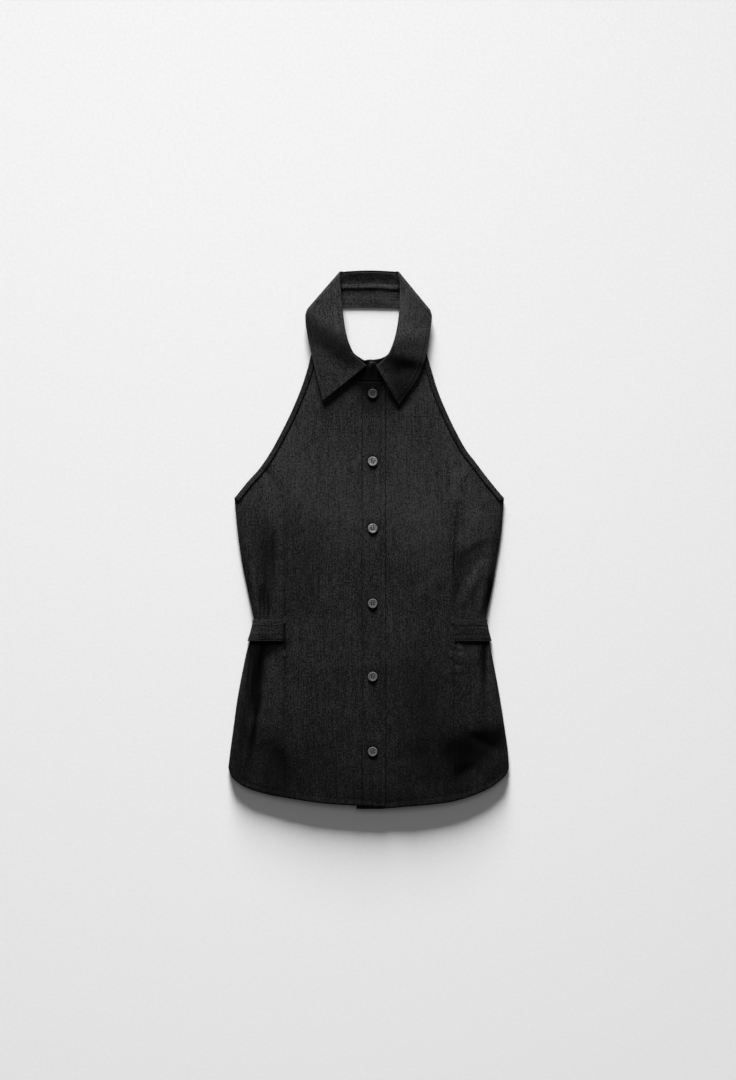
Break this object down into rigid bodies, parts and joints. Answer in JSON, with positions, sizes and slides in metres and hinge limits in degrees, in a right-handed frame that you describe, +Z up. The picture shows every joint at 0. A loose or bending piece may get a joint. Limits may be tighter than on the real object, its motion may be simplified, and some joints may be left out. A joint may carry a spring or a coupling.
{
  "type": "halter neck top",
  "caption": "Sleeveless halter neck top in dark woven cloth with a pointed shirt collar, buttoned placket, princess seams and side belt tabs, laid flat.",
  "frame": {"origin": "centre of the laid garment's outline, on the surface it lies on", "axes": "+X to the right of the laid garment (the wearer's left), +Y from hem to neck, +Z up from the surface, out of the garment's front"},
  "size_m": [0.3738, 0.7157, 0.0153],
  "materials": {
    "cloth": "washed near-black linen, plain weave with slubs",
    "band": "near-black bias band of the same linen",
    "button": "dark grey polished horn-like resin"
  },
  "bodies": {
    "root": {"back": "cloth", "front_centre_left": "cloth", "front_centre_right": "cloth", "front_side_left": "cloth", "front_side_right": "cloth", "armhole_band_left": "band", "armhole_band_right": "band", "belt_tab_left": "cloth", "belt_tab_right": "cloth", "belt_back": "cloth", "placket": "cloth", "button_stand": "cloth", "collar_stand": "cloth", "collar_leaf": "cloth", "button_1": "button", "button_2": "button", "button_3": "button", "button_4": "button", "button_5": "button", "button_6": "button"}
  },
  "joints": []
}
